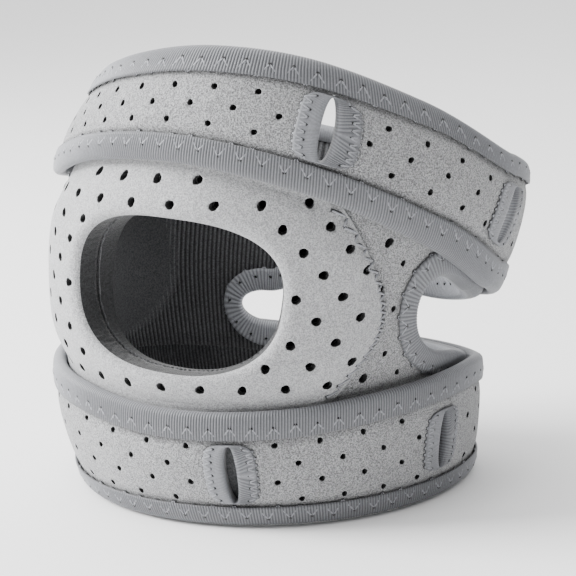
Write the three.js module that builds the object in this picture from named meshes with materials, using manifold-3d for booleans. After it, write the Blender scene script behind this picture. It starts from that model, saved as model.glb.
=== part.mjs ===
import * as THREE from "three";
import { mergeVertices } from "three/addons/utils/BufferGeometryUtils.js";
import Module from "manifold-3d";

// Knee brace: a panel with a padded kneecap opening, an open back of the knee and two bound straps.
// Millimetres, +Z up, kneecap toward -Y, origin under the middle of the level lower rim.
// Every piece lies on one leg form, at (turn, height, out): turn in degrees round the leg,
// height above the lower rim, and out the distance off the form.

// Overall sizes
const BRACE_HEIGHT = 140;
const LOOP_WIDTH = 142;
const FRONT_DEPTH = 69;
const BACK_DEPTH = 46;
const BACK_SQUARENESS = 0.8;
const UPPER_EDGE_HEIGHT = 108;
const UPPER_STRAP_WIDTH = 41;
const LOWER_STRAP_WIDTH = 41;

// Layers, from the leg outward
const GAP = 0.35;
const LINING_INSIDE = -7.8;
const LINING_THICKNESS = 0.9;
const PANEL_THICKNESS = 2.7;
const PAD_CLEARANCE = 0.65;
const PAD_THICKNESS = 1;
const PAD_BULGE = 3;
const TAPE_THICKNESS = 0.7;
const STRAP_THICKNESS = 1.9;
const STRAP_CROWN = 2.2;
const TAB_THICKNESS = 1.5;

// Edge tapes
const INNER_BINDING_LEG = 8;
const RIM_BINDING_LEG = 6.5;
const BACKING_LEG = 5;
const FOLD_ROUND = 1.3;
const OPENING_TAPE_LEG = 8;
const OPENING_TAPE_SLACK = 0.6;
const PANEL_OVERLAP = 9;

// Kneecap opening and pad
const KNEECAP_TURN = -91.8;
const KNEECAP_HEIGHT = 69.5;
const KNEECAP_WIDTH = 73;
const KNEECAP_TALL = 46;
const KNEECAP_SQUARENESS = 2.5;
const KNEECAP_LEAN = 2.5;
const PAD_LEFT_TURN = -158;
const PAD_RIGHT_TURN = -36;
const PAD_CORNER = 15;
const PAD_TUCK = 3;
const PAD_SHOULDER = 14;
const PAD_SHOULDER_SHARE = 0.2;
const HOLE_DIAMETER = 3;
const HOLE_PITCH = 13.3;
const HOLE_ROW_STEP = 6.8;
const HOLE_MARGIN = 3.6;
const HOLE_SIDES = 5;

// Opening at the back of the knee
const OPENING_NEAR_TURN = -24;
const OPENING_FAR_TURN = 112;
const OPENING_END_LENGTH = 20;
const OPENING_END_STEPS = 4;
const OPENING_NEAR_RISE = 6;
const OPENING_RISE_END_TURN = 14;
const OPENING_TAPER_TURN = 76;
const OPENING_TIP_LENGTH = 10;
const OPENING_TIP_TALL = 10.4;
const OPENING_REVEAL = 1.2;

// Strap slots
const SLOT_LENGTH = 18;
const SLOT_WIDTH = 3.6;
const SLOT_TAPE_WIDTH = 15;
const SLOT_END_CLEARANCE = 0.4;
const SLOT_TAPE_SLACK = 0.4;

// Closure tabs at the hidden back
const TAB_START_TURN = 140;
const TAB_END_TURN = 190;
const TAB_MARGIN = 1;

// Mesh density
const RING_COLUMNS = 36;
const SLOT_SIDES = 12;
const DEGREE = Math.PI / 180;

// Sections of the leg form: shares of BRACE_HEIGHT, LOOP_WIDTH, FRONT_DEPTH and BACK_DEPTH;
// side is the shift to +X in shares of LOOP_WIDTH, back the shift to +Y in shares of FRONT_DEPTH.
const LEG_SECTIONS = [
  { height: -0.05, width: 0.85, front: 0.863, rear: 0.848, side: -0.032, back: 0.057 },
  { height: 0.2, width: 0.904, front: 0.913, rear: 0.89, side: -0.038, back: 0.015 },
  { height: 0.45, width: 0.987, front: 0.96, rear: 0.934, side: -0.013, back: -0.003 },
  { height: 0.7, width: 1, front: 0.998, rear: 0.982, side: 0.038, back: 0.009 },
  { height: 0.95, width: 0.805, front: 0.941, rear: 1.014, side: 0.084, back: 0.056 },
  { height: 1.05, width: 0.726, front: 0.917, rear: 1.027, side: 0.103, back: 0.075 },
];

// Strap edges every 30 degrees: lowerWidth and upperWidth are shares of the strap widths,
// upperEdge the upper strap's lower edge in shares of UPPER_EDGE_HEIGHT.
const STRAP_EDGES = [
  { turn: -180, lowerWidth: 1, upperEdge: 0.84, upperWidth: 0.8 },
  { turn: -150, lowerWidth: 0.99, upperEdge: 0.905, upperWidth: 0.763 },
  { turn: -120, lowerWidth: 0.956, upperEdge: 0.988, upperWidth: 0.734 },
  { turn: -90, lowerWidth: 0.878, upperEdge: 1, upperWidth: 0.778 },
  { turn: -60, lowerWidth: 0.885, upperEdge: 0.918, upperWidth: 0.883 },
  { turn: -30, lowerWidth: 0.946, upperEdge: 0.755, upperWidth: 0.978 },
  { turn: 0, lowerWidth: 0.966, upperEdge: 0.579, upperWidth: 0.985 },
  { turn: 30, lowerWidth: 0.89, upperEdge: 0.504, upperWidth: 1 },
  { turn: 60, lowerWidth: 0.866, upperEdge: 0.49, upperWidth: 0.98 },
  { turn: 90, lowerWidth: 0.878, upperEdge: 0.56, upperWidth: 1 },
  { turn: 120, lowerWidth: 0.927, upperEdge: 0.66, upperWidth: 0.93 },
  { turn: 150, lowerWidth: 0.97, upperEdge: 0.76, upperWidth: 0.85 },
];

// Slots through the straps: turn of the middle, lean in degrees of turn over the slot's length
const SLOTS = [
  { name: "upper_front_slot_tape", strap: "upper", turn: -56.5, lean: 3 },
  { name: "upper_side_slot_tape", strap: "upper", turn: -4.5, lean: 5 },
  { name: "lower_front_slot_tape", strap: "lower", turn: -73.5, lean: 0 },
  { name: "lower_side_slot_tape", strap: "lower", turn: -13.5, lean: 1.5 },
];

// Faces of the layers
const LINING_OUTSIDE = LINING_INSIDE + LINING_THICKNESS;
const PANEL_INSIDE = LINING_OUTSIDE + GAP;
const PANEL_OUTSIDE = PANEL_INSIDE + PANEL_THICKNESS;
const PAD_INSIDE = PANEL_OUTSIDE + PAD_CLEARANCE;
const PAD_OUTSIDE = PAD_INSIDE + PAD_THICKNESS;
const BACKING_INSIDE = Math.max(PAD_OUTSIDE, PANEL_OUTSIDE + GAP + TAPE_THICKNESS) + GAP;
const BACKING_OUTSIDE = BACKING_INSIDE + TAPE_THICKNESS;
const STRAP_INSIDE = BACKING_OUTSIDE + GAP;
const STRAP_OUTSIDE = STRAP_INSIDE + STRAP_THICKNESS;
const FACING_INSIDE = STRAP_OUTSIDE + GAP;
const FACING_OUTSIDE = FACING_INSIDE + TAPE_THICKNESS;
const CLOTH_INSET = TAPE_THICKNESS + 2 * GAP;

const FABRIC = new THREE.MeshStandardMaterial({ color: 0xb6b7bb, roughness: 0.95, metalness: 0 });
const PAD_FABRIC = new THREE.MeshStandardMaterial({ color: 0xc2c3c6, roughness: 0.8, metalness: 0 });
const TAPE = new THREE.MeshStandardMaterial({ color: 0x8e9097, roughness: 0.7, metalness: 0 });
const DARK_LINING = new THREE.MeshStandardMaterial({ color: 0x343538, roughness: 0.9, metalness: 0 });

const wasm = await Module();
wasm.setup();

// Smooth curve through four neighbouring values
function catmullRom(before, from, to, after, share) {
  const fromSlope = (to - before) / 2;
  const toSlope = (after - from) / 2;
  const square = share * share;
  const cube = square * share;
  return (2 * cube - 3 * square + 1) * from + (cube - 2 * square + share) * fromSlope
    + (3 * square - 2 * cube) * to + (cube - square) * toSlope;
}

// Value of one column of the leg sections at a height
function sectionValue(column, height) {
  const share = height / BRACE_HEIGHT;
  const last = LEG_SECTIONS.length - 1;
  let row = 0;
  while (row < last - 1 && share > LEG_SECTIONS[row + 1].height) row += 1;
  const from = LEG_SECTIONS[row];
  const to = LEG_SECTIONS[row + 1];
  const before = LEG_SECTIONS[Math.max(row - 1, 0)];
  const after = LEG_SECTIONS[Math.min(row + 2, last)];
  const along = (share - from.height) / (to.height - from.height);
  return catmullRom(before[column], from[column], to[column], after[column], along);
}

// Value of one column of the strap edges at a turn
function edgeValue(column, turn) {
  const count = STRAP_EDGES.length;
  const step = 360 / count;
  const place = (turn - STRAP_EDGES[0].turn) / step;
  const row = Math.floor(place);
  const at = (index) => STRAP_EDGES[THREE.MathUtils.euclideanModulo(index, count)][column];
  return catmullRom(at(row - 1), at(row), at(row + 1), at(row + 2), place - row);
}

// Point of the leg form
function leg(turn, height, out) {
  const cosine = Math.cos(turn * DEGREE);
  const sine = Math.sin(turn * DEGREE);
  const power = sine > 0 ? BACK_SQUARENESS : 1;
  const depth = sine > 0 ? BACK_DEPTH * sectionValue("rear", height)
    : FRONT_DEPTH * sectionValue("front", height);
  const halfWidth = LOOP_WIDTH / 2 * sectionValue("width", height);
  return new THREE.Vector3(
    LOOP_WIDTH * sectionValue("side", height)
      + (halfWidth + out) * Math.sign(cosine) * Math.abs(cosine) ** power,
    FRONT_DEPTH * sectionValue("back", height)
      + (depth + out) * Math.sign(sine) * Math.abs(sine) ** power,
    height,
  );
}

// Degrees of turn that one millimetre takes at a place on the form
function turnPerMillimetre(turn, height) {
  return 1 / leg(turn - 0.5, height, 0).distanceTo(leg(turn + 0.5, height, 0));
}

// Edges of the two straps
const upperBottom = (turn) => UPPER_EDGE_HEIGHT * edgeValue("upperEdge", turn);
const upperTop = (turn) => upperBottom(turn) + UPPER_STRAP_WIDTH * edgeValue("upperWidth", turn);
const lowerTop = (turn) => LOWER_STRAP_WIDTH * edgeValue("lowerWidth", turn);
const lowerBottom = () => 0;
const STRAPS = {
  upper: { bottom: upperBottom, top: upperTop, bottomLeg: INNER_BINDING_LEG, topLeg: RIM_BINDING_LEG },
  lower: { bottom: lowerBottom, top: lowerTop, bottomLeg: RIM_BINDING_LEG, topLeg: INNER_BINDING_LEG },
};

// How much longer a width measured straight up is than one measured across a sloping edge
function slopeStretch(edge, turn) {
  const rise = (edge(turn + 1) - edge(turn - 1)) / 2;
  return Math.hypot(1, rise * turnPerMillimetre(turn, edge(turn)));
}

// Heights between which the cloth of a strap shows, grown inward by a margin
function clothSpan(strap, turn, margin = 0) {
  return {
    low: strap.bottom(turn) + (strap.bottomLeg + margin) * slopeStretch(strap.bottom, turn),
    high: strap.top(turn) - (strap.topLeg + margin) * slopeStretch(strap.top, turn),
  };
}

// How far a strap bows outward at a height: nothing at its edges, STRAP_CROWN at its middle
function strapBow(strap, turn, height) {
  const across = (height - strap.bottom(turn)) / (strap.top(turn) - strap.bottom(turn));
  return STRAP_CROWN * (1 - (2 * across - 1) ** 2);
}

// Point of a strap or its tapes, out off the form before the strap bows
function onStrap(strap, turn, height, out) {
  return leg(turn, height, out + strapBow(strap, turn, height));
}

// Closed solid from a list of stations, each a closed loop of points
function loft(stations, isRing) {
  const size = stations[0].length;
  const positions = stations.flat().flatMap((point) => point.toArray());
  const faces = [];
  const spans = isRing ? stations.length : stations.length - 1;
  for (let i = 0; i < spans; i += 1) {
    const from = i * size;
    const to = ((i + 1) % stations.length) * size;
    for (let j = 0; j < size; j += 1) {
      const next = (j + 1) % size;
      faces.push(from + j, to + j, to + next, from + j, to + next, from + next);
    }
  }
  if (!isRing) {
    const addCap = (start, flip) => {
      const centre = new THREE.Vector3();
      for (let j = 0; j < size; j += 1) centre.add(stations[start / size][j]);
      centre.divideScalar(size);
      const middle = positions.length / 3;
      positions.push(centre.x, centre.y, centre.z);
      for (let j = 0; j < size; j += 1) {
        const next = start + (j + 1) % size;
        faces.push(...(flip ? [middle, next, start + j] : [middle, start + j, next]));
      }
    };
    addCap(0, false);
    addCap((stations.length - 1) * size, true);
  }
  return toSolid(positions, faces);
}

// Closed sheet between an outer and an inner grid of points, open or closed round the leg
function sheet(outer, inner, isRing) {
  const columns = outer.length;
  const rows = outer[0].length;
  const positions = [...outer.flat(), ...inner.flat()].flatMap((point) => point.toArray());
  const innerStart = columns * rows;
  const faces = [];
  const addQuad = (a, b, c, d) => faces.push(a, b, c, a, c, d);
  const spans = isRing ? columns : columns - 1;
  for (let i = 0; i < spans; i += 1) {
    const from = i * rows;
    const to = ((i + 1) % columns) * rows;
    for (let j = 0; j < rows - 1; j += 1) {
      addQuad(from + j, to + j, to + j + 1, from + j + 1);
      addQuad(innerStart + from + j, innerStart + from + j + 1, innerStart + to + j + 1, innerStart + to + j);
    }
    const top = rows - 1;
    addQuad(from, innerStart + from, innerStart + to, to);
    addQuad(from + top, to + top, innerStart + to + top, innerStart + from + top);
  }
  if (!isRing) {
    const last = (columns - 1) * rows;
    for (let j = 0; j < rows - 1; j += 1) {
      addQuad(j, j + 1, innerStart + j + 1, innerStart + j);
      addQuad(last + j, innerStart + last + j, innerStart + last + j + 1, last + j + 1);
    }
  }
  return toSolid(positions, faces);
}

// Solid from loose positions and faces, turned outward
function toSolid(positions, faces) {
  const geometry = new THREE.BufferGeometry();
  geometry.setAttribute("position", new THREE.Float32BufferAttribute(positions, 3));
  geometry.setIndex(faces);
  const merged = mergeVertices(geometry, 1e-4);
  const vertices = merged.getAttribute("position").array;
  const corners = merged.getIndex().array;
  const kept = [];
  let volume = 0;
  const a = new THREE.Vector3();
  const b = new THREE.Vector3();
  const c = new THREE.Vector3();
  for (let i = 0; i < corners.length; i += 3) {
    const [p, q, r] = corners.slice(i, i + 3);
    if (p === q || q === r || r === p) continue;
    kept.push(p, q, r);
    a.fromArray(vertices, 3 * p);
    b.fromArray(vertices, 3 * q);
    c.fromArray(vertices, 3 * r);
    volume += a.dot(b.cross(c));
  }
  if (volume < 0) kept.reverse();
  return new wasm.Manifold(new wasm.Mesh({
    numProp: 3,
    vertProperties: new Float32Array(vertices),
    triVerts: new Uint32Array(kept),
  }));
}

// Named mesh of a finished solid
function toMesh(name, solid, material) {
  const result = solid.getMesh();
  const geometry = new THREE.BufferGeometry();
  geometry.setAttribute("position", new THREE.BufferAttribute(result.vertProperties, 3));
  geometry.setIndex(new THREE.BufferAttribute(result.triVerts, 1));
  geometry.computeVertexNormals();
  const mesh = new THREE.Mesh(geometry, material);
  mesh.name = name;
  return mesh;
}

// Turns of the columns of a band, all round the leg
function ringTurns(columns = RING_COLUMNS) {
  return Array.from({ length: columns }, (unused, i) => -180 + 360 * i / columns);
}

// Band round the leg between two faces, with a row of points at each height
function band(heights, inside, outside, point = leg) {
  const side = (out) => ringTurns().map((turn) => heights(turn).map((height) => point(turn, height, out)));
  return sheet(side(outside), side(inside), true);
}

// Evenly spaced heights between two, both included
function heightsBetween(low, high, spans) {
  return Array.from({ length: spans + 1 }, (unused, j) => THREE.MathUtils.lerp(low, high, j / spans));
}

// Place on the contour of the kneecap opening at an angle round it
function kneecapPlace(angle) {
  const across = Math.abs(Math.cos(angle)) ** (2 / KNEECAP_SQUARENESS) * Math.sign(Math.cos(angle));
  const up = Math.abs(Math.sin(angle)) ** (2 / KNEECAP_SQUARENESS) * Math.sign(Math.sin(angle));
  const perMillimetre = turnPerMillimetre(KNEECAP_TURN, KNEECAP_HEIGHT);
  return {
    turn: KNEECAP_TURN + KNEECAP_WIDTH / 2 * across * perMillimetre,
    height: KNEECAP_HEIGHT + KNEECAP_TALL / 2 * up - KNEECAP_LEAN * across,
  };
}

// Tool that cuts the kneecap opening out of the pad, panel and lining
function kneecapCutter(reach = 14, sides = 24) {
  const station = (out) => Array.from({ length: sides }, (unused, i) => {
    const place = kneecapPlace(i / sides * 2 * Math.PI);
    return leg(place.turn, place.height, out);
  });
  return loft([station(-reach), station(reach)], false);
}

// Rows across the opening behind the knee, from its near end to its far end: each has a turn and
// the low and high edge there. The low edge comes down from the near end, and the opening tapers
// to a narrow far tip. The ends are half ovals; grow moves the whole contour outward.
function openingRows(grow) {
  const nearPitch = turnPerMillimetre(OPENING_NEAR_TURN, BRACE_HEIGHT / 2);
  const farPitch = turnPerMillimetre(OPENING_FAR_TURN, BRACE_HEIGHT / 2);
  const nearEnd = OPENING_NEAR_TURN + OPENING_END_LENGTH * nearPitch;
  const farStart = OPENING_FAR_TURN - OPENING_TIP_LENGTH * farPitch;
  const row = (turn, roundness) => {
    const levelling = THREE.MathUtils.smoothstep(turn, OPENING_NEAR_TURN, OPENING_RISE_END_TURN);
    const lowEdge = lowerTop(turn) + OPENING_REVEAL + OPENING_NEAR_RISE * (1 - levelling);
    const full = upperBottom(turn) - OPENING_REVEAL - lowEdge;
    const taper = THREE.MathUtils.smoothstep(turn, OPENING_TAPER_TURN, farStart);
    const tall = THREE.MathUtils.lerp(full, OPENING_TIP_TALL, taper);
    const middle = lowEdge + tall / 2;
    const half = (tall / 2 + grow) * roundness;
    return { turn, low: middle - half, high: middle + half };
  };
  const cap = (start, reach) => Array.from({ length: OPENING_END_STEPS + 1 }, (unused, i) => {
    const angle = i / OPENING_END_STEPS * Math.PI / 2;
    return row(start + reach * Math.cos(angle), Math.sin(angle));
  });
  const nearCap = cap(nearEnd, -(OPENING_END_LENGTH + grow) * nearPitch);
  const farCap = cap(farStart, (OPENING_TIP_LENGTH + grow) * farPitch);
  const between = ringTurns().filter((turn) => turn > nearEnd + 1 && turn < farStart - 1);
  return [...nearCap, ...between.map((turn) => row(turn, 1)), ...farCap.reverse()];
}

// Tool that cuts the opening behind the knee out of the panel and lining
function openingCutter(grow, reach = 2) {
  const side = (out) => openingRows(grow).map(({ turn, low, high }) =>
    [leg(turn, low, out), leg(turn, high, out)]);
  return sheet(side(PANEL_OUTSIDE + reach), side(LINING_INSIDE - reach), false);
}

// Contour of the opening behind the knee as one closed list of places
function openingContour(grow) {
  const rows = openingRows(grow);
  const upper = rows.slice(0, -1).map(({ turn, high }) => ({ turn, height: high }));
  const lower = rows.slice(1).reverse().map(({ turn, low }) => ({ turn, height: low }));
  return [...upper, ...lower];
}

// Cloth of a strap, inset from its folded edges, with rows of points where the tapes end
function strapCloth(strap) {
  const heights = (turn) => {
    const span = clothSpan(strap, turn);
    return [
      strap.bottom(turn) + CLOTH_INSET * slopeStretch(strap.bottom, turn),
      ...heightsBetween(span.low, span.high, 2),
      strap.top(turn) - CLOTH_INSET * slopeStretch(strap.top, turn),
    ];
  };
  const point = (turn, height, out) => onStrap(strap, turn, height, out);
  return band(heights, STRAP_INSIDE, STRAP_OUTSIDE, point);
}

// Folded tape over the upper or lower edge of a strap
function edgeBinding(strap, isTop) {
  const edge = isTop ? strap.top : strap.bottom;
  const inward = isTop ? -1 : 1;
  const legLength = isTop ? strap.topLeg : strap.bottomLeg;
  const section = [
    [legLength, FACING_INSIDE],
    [legLength, FACING_OUTSIDE],
    [FOLD_ROUND, FACING_OUTSIDE],
    [0, STRAP_OUTSIDE],
    [0, BACKING_INSIDE],
    [BACKING_LEG, BACKING_INSIDE],
    [BACKING_LEG, BACKING_OUTSIDE],
    [TAPE_THICKNESS + GAP, BACKING_OUTSIDE],
    [TAPE_THICKNESS + GAP, FACING_INSIDE],
  ];
  const stations = ringTurns().map((turn) => section.map(([depth, out]) => {
    const height = edge(turn) + inward * depth * slopeStretch(edge, turn);
    return onStrap(strap, turn, height, out);
  }));
  return loft(stations, true);
}

// Place at an offset from the middle of a slot, leaning with the slot and sloping with its strap
function slotPlace(slot, across, up) {
  const strap = STRAPS[slot.strap];
  const perMillimetre = turnPerMillimetre(slot.turn, strap.top(slot.turn));
  const turn = slot.turn + across * perMillimetre + slot.lean * up / SLOT_LENGTH;
  const span = clothSpan(strap, turn);
  return { turn, height: (span.low + span.high) / 2 + up };
}

// Lens-shaped slot contour, and the squarer outer contour of its tape
function slotContour(slot, angle, grow) {
  const across = (SLOT_WIDTH / 2 + grow) * Math.cos(angle);
  const up = (SLOT_LENGTH / 2 + grow / 2) * Math.sin(angle);
  return slotPlace(slot, across, up);
}

function slotTapeContour(slot, angle) {
  const square = (value) => Math.sign(value) * Math.abs(value) ** 0.5;
  const across = SLOT_TAPE_WIDTH / 2 * square(Math.cos(angle));
  const up = (SLOT_LENGTH / 2 + SLOT_END_CLEARANCE) * square(Math.sin(angle));
  return slotPlace(slot, across, up);
}

// Tool that cuts a slot out of the strap cloth
function slotCutter(slot, sides = SLOT_SIDES) {
  const station = (out) => Array.from({ length: sides }, (unused, i) => {
    const place = slotContour(slot, i / sides * 2 * Math.PI, CLOTH_INSET);
    return onStrap(STRAPS[slot.strap], place.turn, place.height, out);
  });
  return loft([station(STRAP_INSIDE - 2), station(STRAP_OUTSIDE + 2)], false);
}

// Folded tape round a slot
function slotTape(slot, sides = SLOT_SIDES) {
  const backingOutside = BACKING_OUTSIDE - SLOT_TAPE_SLACK;
  const backingInside = BACKING_INSIDE - SLOT_TAPE_SLACK;
  const stations = Array.from({ length: sides }, (unused, i) => {
    const angle = i / sides * 2 * Math.PI;
    const inner = slotContour(slot, angle, 0);
    const cloth = slotContour(slot, angle, TAPE_THICKNESS + GAP);
    const outer = slotTapeContour(slot, angle);
    const at = (place, out) => onStrap(STRAPS[slot.strap], place.turn, place.height, out);
    return [
      at(outer, FACING_INSIDE),
      at(outer, FACING_OUTSIDE),
      at(inner, FACING_OUTSIDE),
      at(inner, backingInside),
      at(outer, backingInside),
      at(outer, backingOutside),
      at(cloth, backingOutside),
      at(cloth, FACING_INSIDE),
    ];
  });
  return loft(stations, true);
}

// Folded tape round the opening behind the knee, over the panel and the lining
function openingTape() {
  const outside = PANEL_OUTSIDE + GAP;
  const inside = LINING_INSIDE - GAP - OPENING_TAPE_SLACK;
  const edge = openingContour(0);
  const cloth = openingContour(TAPE_THICKNESS + GAP);
  const outer = openingContour(OPENING_TAPE_LEG);
  const stations = edge.map((place, i) => [
    leg(outer[i].turn, outer[i].height, outside),
    leg(outer[i].turn, outer[i].height, outside + TAPE_THICKNESS),
    leg(place.turn, place.height, outside + TAPE_THICKNESS),
    leg(place.turn, place.height, inside - TAPE_THICKNESS),
    leg(outer[i].turn, outer[i].height, inside - TAPE_THICKNESS),
    leg(outer[i].turn, outer[i].height, inside),
    leg(cloth[i].turn, cloth[i].height, inside),
    leg(cloth[i].turn, cloth[i].height, outside),
  ]);
  return loft(stations, true);
}

// Panel or lining: a band cut by the kneecap opening and the opening behind the knee
function panelLayer(inside, outside, spans) {
  const heights = (turn) => {
    return heightsBetween(lowerTop(turn) - PANEL_OVERLAP, upperBottom(turn) + PANEL_OVERLAP, spans);
  };
  return band(heights, inside, outside)
    .subtract(kneecapCutter())
    .subtract(openingCutter(CLOTH_INSET));
}

// Turn of the pad's left and right edge at a share of its height
function padEdgeTurns(up) {
  const corner = PAD_CORNER * (2 * up - 0.9) ** 2;
  return { left: PAD_LEFT_TURN + corner, right: PAD_RIGHT_TURN - corner };
}

// Raised pad round the kneecap: flat where the straps hold it down, thin at its sewn sides
function padBlank(columns = 17, rows = 5) {
  const rounded = (share) => 1 - (1 - THREE.MathUtils.clamp(share, 0, 1)) ** 2;
  const point = (across, row, isOuter) => {
    const up = THREE.MathUtils.clamp((row - 1) / rows, 0, 1);
    const edges = padEdgeTurns(up);
    const turn = THREE.MathUtils.lerp(edges.left, edges.right, across);
    const shown = heightsBetween(lowerTop(turn) + FOLD_ROUND, upperBottom(turn) - FOLD_ROUND, rows);
    const heights = [shown[0] - PAD_TUCK, ...shown, shown[rows] + PAD_TUCK];
    const isTucked = row === 0 || row === rows + 2;
    const sideRise = rounded(Math.min(across, 1 - across) / PAD_SHOULDER_SHARE);
    const fromStrap = (shown[rows] - shown[0]) * Math.min(up, 1 - up) / PAD_SHOULDER;
    const rise = isTucked ? 0 : sideRise * rounded(fromStrap);
    return leg(turn, heights[row], isOuter ? PAD_OUTSIDE + PAD_BULGE * rise : PAD_INSIDE);
  };
  const side = (isOuter) => Array.from({ length: columns + 1 }, (unused, i) =>
    Array.from({ length: rows + 3 }, (alsoUnused, row) => point(i / columns, row, isOuter)));
  return sheet(side(true), side(false), false);
}

// Whether a hole of the pad lies clear of the kneecap opening and of the pad's edges
function isHoleClear(turn, height) {
  const perMillimetre = turnPerMillimetre(turn, height);
  const across = (turn - KNEECAP_TURN) / perMillimetre / (KNEECAP_WIDTH / 2 + HOLE_MARGIN);
  const up = (height - KNEECAP_HEIGHT) / (KNEECAP_TALL / 2 + HOLE_MARGIN);
  const isOutsideKneecap = Math.abs(across) ** KNEECAP_SQUARENESS + Math.abs(up) ** KNEECAP_SQUARENESS > 1;
  const low = lowerTop(turn) + HOLE_MARGIN;
  const high = upperBottom(turn) - HOLE_MARGIN;
  const upShare = (height - low) / (high - low);
  const edgeTurn = HOLE_MARGIN * perMillimetre;
  const edges = padEdgeTurns(upShare);
  const isInsideSides = turn > edges.left + edgeTurn && turn < edges.right - edgeTurn;
  return isOutsideKneecap && isInsideSides && height > low && height < high;
}

// Tools that cut the staggered ventilation holes of the pad
function padHoleCutters() {
  const pitch = HOLE_PITCH * turnPerMillimetre(KNEECAP_TURN, KNEECAP_HEIGHT);
  const cutters = [];
  for (let row = -8; row <= 8; row += 1) {
    const height = KNEECAP_HEIGHT + row * HOLE_ROW_STEP;
    for (let column = -7; column <= 7; column += 1) {
      const turn = KNEECAP_TURN + (column + (row % 2 === 0 ? 0 : 0.5)) * pitch;
      if (!isHoleClear(turn, height)) continue;
      const perMillimetre = turnPerMillimetre(turn, height);
      const station = (out) => Array.from({ length: HOLE_SIDES }, (unused, i) => {
        const angle = i / HOLE_SIDES * 2 * Math.PI;
        const across = HOLE_DIAMETER / 2 * Math.cos(angle) * perMillimetre;
        return leg(turn + across, height + HOLE_DIAMETER / 2 * Math.sin(angle), out);
      });
      cutters.push(loft([station(PAD_INSIDE - 1), station(PAD_OUTSIDE + PAD_BULGE + 1)], false));
    }
  }
  return cutters;
}

function patellaPad() {
  let solid = padBlank().subtract(kneecapCutter());
  for (const cutter of padHoleCutters()) solid = solid.subtract(cutter);
  return solid;
}

// Strap cloth with its slots cut through
function slottedStrap(name) {
  let solid = strapCloth(STRAPS[name]);
  for (const slot of SLOTS.filter((row) => row.strap === name)) solid = solid.subtract(slotCutter(slot));
  return solid;
}

// Plain closure tab on the outside of a strap, between its tapes
function closureTab(strap, columns = 5) {
  const side = (out) => Array.from({ length: columns + 1 }, (unused, i) => {
    const turn = THREE.MathUtils.lerp(TAB_START_TURN, TAB_END_TURN, i / columns);
    const span = clothSpan(strap, turn, TAB_MARGIN);
    return heightsBetween(span.low, span.high, 2).map((height) => onStrap(strap, turn, height, out));
  });
  return sheet(side(FACING_INSIDE + TAB_THICKNESS), side(FACING_INSIDE), false);
}

const brace = new THREE.Group();
brace.name = "knee_brace";
brace.add(toMesh("panel_lining", panelLayer(LINING_INSIDE, LINING_OUTSIDE, 3), DARK_LINING));
brace.add(toMesh("knee_panel", panelLayer(PANEL_INSIDE, PANEL_OUTSIDE, 3), FABRIC));
brace.add(toMesh("patella_pad", patellaPad(), PAD_FABRIC));
brace.add(toMesh("popliteal_opening_tape", openingTape(), TAPE));
brace.add(toMesh("upper_strap", slottedStrap("upper"), FABRIC));
brace.add(toMesh("upper_strap_top_binding", edgeBinding(STRAPS.upper, true), TAPE));
brace.add(toMesh("upper_strap_bottom_binding", edgeBinding(STRAPS.upper, false), TAPE));
brace.add(toMesh("lower_strap", slottedStrap("lower"), FABRIC));
brace.add(toMesh("lower_strap_top_binding", edgeBinding(STRAPS.lower, true), TAPE));
brace.add(toMesh("lower_strap_bottom_binding", edgeBinding(STRAPS.lower, false), TAPE));
for (const slot of SLOTS) brace.add(toMesh(slot.name, slotTape(slot), TAPE));
brace.add(toMesh("upper_closure_tab", closureTab(STRAPS.upper), FABRIC));
brace.add(toMesh("lower_closure_tab", closureTab(STRAPS.lower), FABRIC));

// Origin under the middle of the brace
const box = new THREE.Box3().setFromObject(brace);
const middle = box.getCenter(new THREE.Vector3());
brace.position.set(-middle.x, -middle.y, 0);

export default brace;
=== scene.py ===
import math

import bmesh
import bpy
import numpy as np
from mathutils import Matrix, Vector


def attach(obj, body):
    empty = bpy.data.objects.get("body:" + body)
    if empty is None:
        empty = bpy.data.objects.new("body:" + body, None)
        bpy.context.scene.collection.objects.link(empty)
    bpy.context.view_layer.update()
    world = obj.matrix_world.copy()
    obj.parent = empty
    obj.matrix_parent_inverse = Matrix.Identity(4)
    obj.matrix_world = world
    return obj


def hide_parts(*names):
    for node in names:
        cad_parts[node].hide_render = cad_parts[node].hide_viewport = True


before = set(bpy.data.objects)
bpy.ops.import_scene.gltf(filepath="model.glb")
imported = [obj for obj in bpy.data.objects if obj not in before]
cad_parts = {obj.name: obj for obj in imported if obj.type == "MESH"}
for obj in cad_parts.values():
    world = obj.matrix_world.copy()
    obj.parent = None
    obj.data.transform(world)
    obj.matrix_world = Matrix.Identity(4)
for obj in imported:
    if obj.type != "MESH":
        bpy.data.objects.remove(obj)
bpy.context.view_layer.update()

# The leg form and its layers, in millimetres, as in the part's source
MM = 0.001
ORIGIN = (2.716, -10.217)
BRACE_HEIGHT = 140.0
LOOP_WIDTH = 142.0
FRONT_DEPTH = 69.0
BACK_DEPTH = 46.0
BACK_SQUARENESS = 0.8
UPPER_EDGE_HEIGHT = 108.0
UPPER_STRAP_WIDTH = 41.0
LOWER_STRAP_WIDTH = 41.0
GAP = 0.35
TAPE = 0.7
LINING_INSIDE = -7.8
LINING_OUTSIDE = LINING_INSIDE + 0.9
PANEL_INSIDE = LINING_OUTSIDE + GAP
PANEL_OUTSIDE = PANEL_INSIDE + 2.7
PAD_INSIDE = PANEL_OUTSIDE + 0.65
PAD_OUTSIDE = PAD_INSIDE + 1.0
PAD_BULGE = 3.0
BACKING_INSIDE = max(PAD_OUTSIDE, PANEL_OUTSIDE + GAP + TAPE) + GAP
BACKING_OUTSIDE = BACKING_INSIDE + TAPE
STRAP_INSIDE = BACKING_OUTSIDE + GAP
STRAP_OUTSIDE = STRAP_INSIDE + 1.9
FACING_INSIDE = STRAP_OUTSIDE + GAP
FACING_OUTSIDE = FACING_INSIDE + TAPE
CLOTH_INSET = TAPE + 2 * GAP
STRAP_CROWN = 2.2

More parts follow.
